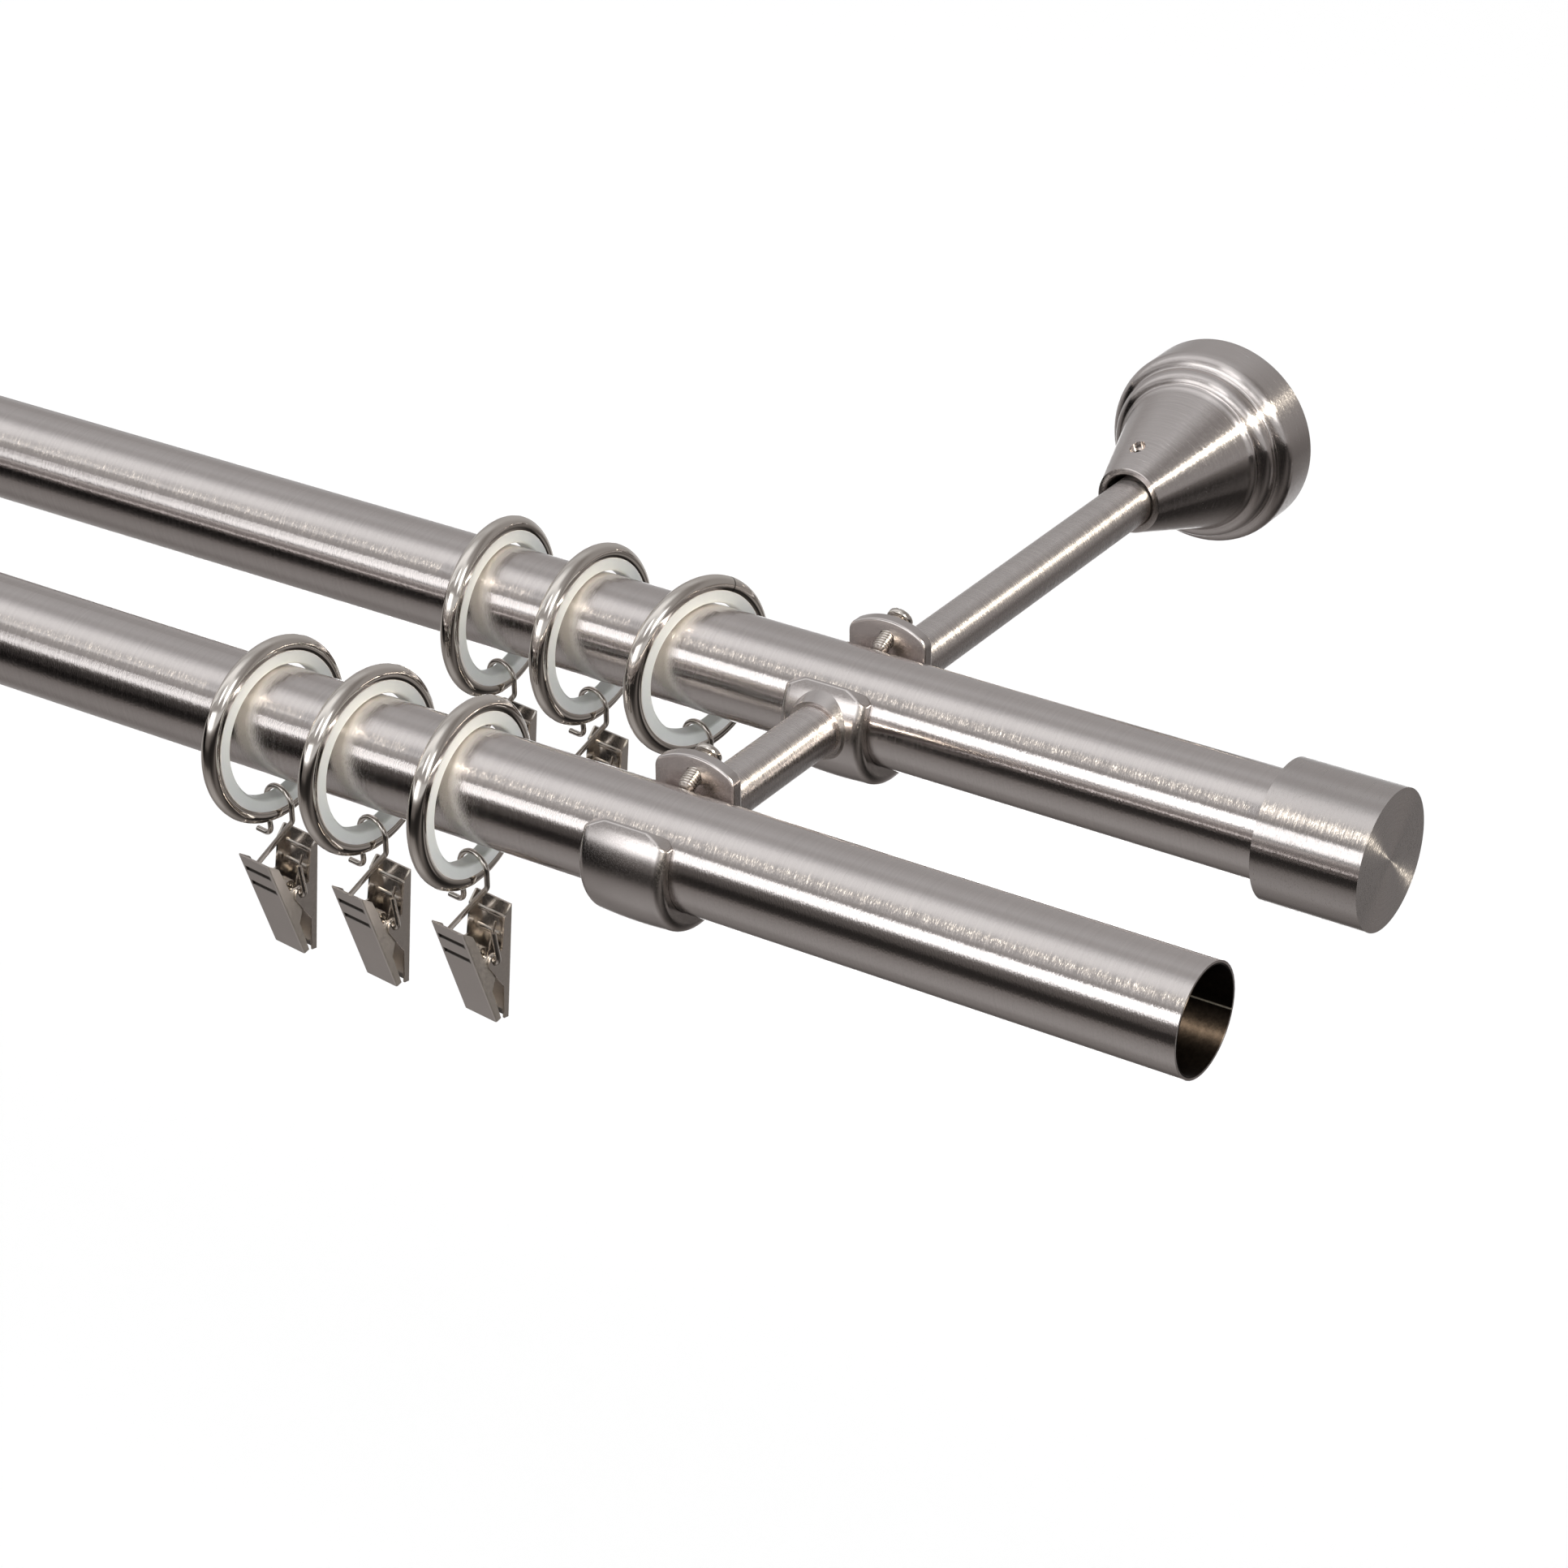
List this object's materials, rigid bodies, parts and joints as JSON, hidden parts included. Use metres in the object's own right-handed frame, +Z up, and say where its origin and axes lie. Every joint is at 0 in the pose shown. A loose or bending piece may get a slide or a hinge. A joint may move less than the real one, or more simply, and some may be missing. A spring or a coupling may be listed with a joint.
{
  "type": "double curtain pole",
  "caption": "Two metal curtain poles, one behind the other, on stemmed wall brackets, with lined gliding rings that carry spring clips on wire hooks.",
  "frame": {"origin": "on the wall plane, midway between the two wall brackets, at the height of the stems; it is the centre of the wall screw pattern", "axes": "+X along the poles to the right seen from the room, +Y into the wall, +Z up"},
  "size_m": [1.2048, 0.2747, 0.0864],
  "materials": {
    "satin_nickel": "brushed",
    "turned_nickel": "satin",
    "cap_nickel": "satin",
    "cast_nickel": "satin",
    "plated_steel": "matte",
    "screw_steel": "satin",
    "ring_nickel": "polished",
    "hook_nickel": "polished",
    "jaw_nickel": "polished",
    "spring_steel": "polished",
    "liner_plastic": "matte"
  },
  "bodies": {
    "pole_frame": {"right_wall_plate": "plated_steel", "right_rosette": "turned_nickel", "right_rosette_grub_screw": "screw_steel", "right_rear_stem": "satin_nickel", "right_rear_cradle": "cast_nickel", "right_rear_lock_screw": "screw_steel", "right_front_stem": "satin_nickel", "right_front_cradle": "cast_nickel", "right_front_lock_screw": "screw_steel", "left_wall_plate": "plated_steel", "left_rosette": "turned_nickel", "left_rosette_grub_screw": "screw_steel", "left_rear_stem": "satin_nickel", "left_rear_cradle": "cast_nickel", "left_rear_lock_screw": "screw_steel", "left_front_stem": "satin_nickel", "left_front_cradle": "cast_nickel", "left_front_lock_screw": "screw_steel", "rear_pole": "satin_nickel", "front_pole": "satin_nickel", "rear_end_cap_right": "cap_nickel", "rear_end_cap_left": "cap_nickel"},
    "front_ring_3_body": {"front_ring_3": "ring_nickel", "front_ring_3_liner": "liner_plastic"},
    "front_ring_3_hook_body": {"front_ring_3_hook": "hook_nickel"},
    "front_ring_3_clip_body": {"front_ring_3_rear_jaw": "jaw_nickel", "front_ring_3_spring": "spring_steel"},
    "front_ring_3_jaw_body": {"front_ring_3_front_jaw": "jaw_nickel"},
    "front_ring_2_body": {"front_ring_2": "ring_nickel", "front_ring_2_liner": "liner_plastic"},
    "front_ring_2_hook_body": {"front_ring_2_hook": "hook_nickel"},
    "front_ring_2_clip_body": {"front_ring_2_rear_jaw": "jaw_nickel", "front_ring_2_spring": "spring_steel"},
    "front_ring_2_jaw_body": {"front_ring_2_front_jaw": "jaw_nickel"},
    "front_ring_1_body": {"front_ring_1": "ring_nickel", "front_ring_1_liner": "liner_plastic"},
    "front_ring_1_hook_body": {"front_ring_1_hook": "hook_nickel"},
    "front_ring_1_clip_body": {"front_ring_1_rear_jaw": "jaw_nickel", "front_ring_1_spring": "spring_steel"},
    "front_ring_1_jaw_body": {"front_ring_1_front_jaw": "jaw_nickel"},
    "rear_ring_3_body": {"rear_ring_3": "ring_nickel", "rear_ring_3_liner": "liner_plastic"},
    "rear_ring_3_hook_body": {"rear_ring_3_hook": "hook_nickel"},
    "rear_ring_3_clip_body": {"rear_ring_3_rear_jaw": "jaw_nickel", "rear_ring_3_spring": "spring_steel"},
    "rear_ring_3_jaw_body": {"rear_ring_3_front_jaw": "jaw_nickel"},
    "rear_ring_2_body": {"rear_ring_2": "ring_nickel", "rear_ring_2_liner": "liner_plastic"},
    "rear_ring_2_hook_body": {"rear_ring_2_hook": "hook_nickel"},
    "rear_ring_2_clip_body": {"rear_ring_2_rear_jaw": "jaw_nickel", "rear_ring_2_spring": "spring_steel"},
    "rear_ring_2_jaw_body": {"rear_ring_2_front_jaw": "jaw_nickel"},
    "rear_ring_1_body": {"rear_ring_1": "ring_nickel", "rear_ring_1_liner": "liner_plastic"},
    "rear_ring_1_hook_body": {"rear_ring_1_hook": "hook_nickel"},
    "rear_ring_1_clip_body": {"rear_ring_1_rear_jaw": "jaw_nickel", "rear_ring_1_spring": "spring_steel"},
    "rear_ring_1_jaw_body": {"rear_ring_1_front_jaw": "jaw_nickel"}
  },
  "joints": [
    {"name": "front_ring_3_slide", "type": "slide", "parent": "pole_frame", "child": "front_ring_3_body", "axis": [1, 0, 0], "range_m": [-0.27, 0.036]},
    {"name": "front_ring_3_hook_swing", "type": "hinge", "parent": "front_ring_3_body", "child": "front_ring_3_hook_body", "pos_m": [0.4185, -0.2525, -0.02194], "axis": [0.1392, 0.9903, 0], "range_deg": [-20, 20]},
    {"name": "front_ring_3_clip_swing", "type": "hinge", "parent": "front_ring_3_hook_body", "child": "front_ring_3_clip_body", "pos_m": [0.4185, -0.2525, -0.04395], "axis": [0.9903, -0.1392, 0], "range_deg": [-26, 12]},
    {"name": "front_ring_3_jaw_open", "type": "hinge", "parent": "front_ring_3_clip_body", "child": "front_ring_3_jaw_body", "pos_m": [0.4185, -0.2525, -0.04395], "axis": [-0.9903, 0.1392, 0], "range_deg": [0, 17], "stiffness_Nm_per_rad": 0.02, "springref_deg": -22.92, "deforming": ["front_ring_3_spring"]},
    {"name": "front_ring_2_slide", "type": "slide", "parent": "front_ring_3_body", "child": "front_ring_2_body", "axis": [1, 0, 0], "range_m": [-0.27, 0.008]},
    {"name": "front_ring_2_hook_swing", "type": "hinge", "parent": "front_ring_2_body", "child": "front_ring_2_hook_body", "pos_m": [0.3903, -0.2525, -0.02194], "axis": [0.1392, 0.9903, 0], "range_deg": [-20, 20]},
    {"name": "front_ring_2_clip_swing", "type": "hinge", "parent": "front_ring_2_hook_body", "child": "front_ring_2_clip_body", "pos_m": [0.3903, -0.2525, -0.04395], "axis": [0.9903, -0.1392, 0], "range_deg": [-26, 12]},
    {"name": "front_ring_2_jaw_open", "type": "hinge", "parent": "front_ring_2_clip_body", "child": "front_ring_2_jaw_body", "pos_m": [0.3903, -0.2525, -0.04395], "axis": [-0.9903, 0.1392, 0], "range_deg": [0, 17], "stiffness_Nm_per_rad": 0.02, "springref_deg": -22.92, "deforming": ["front_ring_2_spring"]},
    {"name": "front_ring_1_slide", "type": "slide", "parent": "front_ring_2_body", "child": "front_ring_1_body", "axis": [1, 0, 0], "range_m": [-0.27, 0.008]},
    {"name": "front_ring_1_hook_swing", "type": "hinge", "parent": "front_ring_1_body", "child": "front_ring_1_hook_body", "pos_m": [0.3634, -0.2525, -0.02194], "axis": [0.1392, 0.9903, 0], "range_deg": [-20, 20]},
    {"name": "front_ring_1_clip_swing", "type": "hinge", "parent": "front_ring_1_hook_body", "child": "front_ring_1_clip_body", "pos_m": [0.3634, -0.2525, -0.04395], "axis": [0.9903, -0.1392, 0], "range_deg": [-26, 12]},
    {"name": "front_ring_1_jaw_open", "type": "hinge", "parent": "front_ring_1_clip_body", "child": "front_ring_1_jaw_body", "pos_m": [0.3634, -0.2525, -0.04395], "axis": [-0.9903, 0.1392, 0], "range_deg": [0, 17], "stiffness_Nm_per_rad": 0.02, "springref_deg": -22.92, "deforming": ["front_ring_1_spring"]},
    {"name": "rear_ring_3_slide", "type": "slide", "parent": "pole_frame", "child": "rear_ring_3_body", "axis": [1, 0, 0], "range_m": [-0.27, 0.025]},
    {"name": "rear_ring_3_hook_swing", "type": "hinge", "parent": "rear_ring_3_body", "child": "rear_ring_3_hook_body", "pos_m": [0.4255, -0.175, -0.02194], "axis": [0.1392, 0.9903, 0], "range_deg": [-20, 20]},
    {"name": "rear_ring_3_clip_swing", "type": "hinge", "parent": "rear_ring_3_hook_body", "child": "rear_ring_3_clip_body", "pos_m": [0.4255, -0.175, -0.04395], "axis": [0.9903, -0.1392, 0], "range_deg": [-26, 12]},
    {"name": "rear_ring_3_jaw_open", "type": "hinge", "parent": "rear_ring_3_clip_body", "child": "rear_ring_3_jaw_body", "pos_m": [0.4255, -0.175, -0.04395], "axis": [-0.9903, 0.1392, 0], "range_deg": [0, 17], "stiffness_Nm_per_rad": 0.02, "springref_deg": -22.92, "deforming": ["rear_ring_3_spring"]},
    {"name": "rear_ring_2_slide", "type": "slide", "parent": "rear_ring_3_body", "child": "rear_ring_2_body", "axis": [1, 0, 0], "range_m": [-0.27, 0.008]},
    {"name": "rear_ring_2_hook_swing", "type": "hinge", "parent": "rear_ring_2_body", "child": "rear_ring_2_hook_body", "pos_m": [0.3956, -0.175, -0.02194], "axis": [0.1392, 0.9903, 0], "range_deg": [-20, 20]},
    {"name": "rear_ring_2_clip_swing", "type": "hinge", "parent": "rear_ring_2_hook_body", "child": "rear_ring_2_clip_body", "pos_m": [0.3956, -0.175, -0.04395], "axis": [0.9903, -0.1392, 0], "range_deg": [-26, 12]},
    {"name": "rear_ring_2_jaw_open", "type": "hinge", "parent": "rear_ring_2_clip_body", "child": "rear_ring_2_jaw_body", "pos_m": [0.3956, -0.175, -0.04395], "axis": [-0.9903, 0.1392, 0], "range_deg": [0, 17], "stiffness_Nm_per_rad": 0.02, "springref_deg": -22.92, "deforming": ["rear_ring_2_spring"]},
    {"name": "rear_ring_1_slide", "type": "slide", "parent": "rear_ring_2_body", "child": "rear_ring_1_body", "axis": [1, 0, 0], "range_m": [-0.27, 0.008]},
    {"name": "rear_ring_1_hook_swing", "type": "hinge", "parent": "rear_ring_1_body", "child": "rear_ring_1_hook_body", "pos_m": [0.3686, -0.175, -0.02194], "axis": [0.1392, 0.9903, 0], "range_deg": [-20, 20]},
    {"name": "rear_ring_1_clip_swing", "type": "hinge", "parent": "rear_ring_1_hook_body", "child": "rear_ring_1_clip_body", "pos_m": [0.3686, -0.175, -0.04395], "axis": [0.9903, -0.1392, 0], "range_deg": [-26, 12]},
    {"name": "rear_ring_1_jaw_open", "type": "hinge", "parent": "rear_ring_1_clip_body", "child": "rear_ring_1_jaw_body", "pos_m": [0.3686, -0.175, -0.04395], "axis": [-0.9903, 0.1392, 0], "range_deg": [0, 17], "stiffness_Nm_per_rad": 0.02, "springref_deg": -22.92, "deforming": ["rear_ring_1_spring"]}
  ]
}
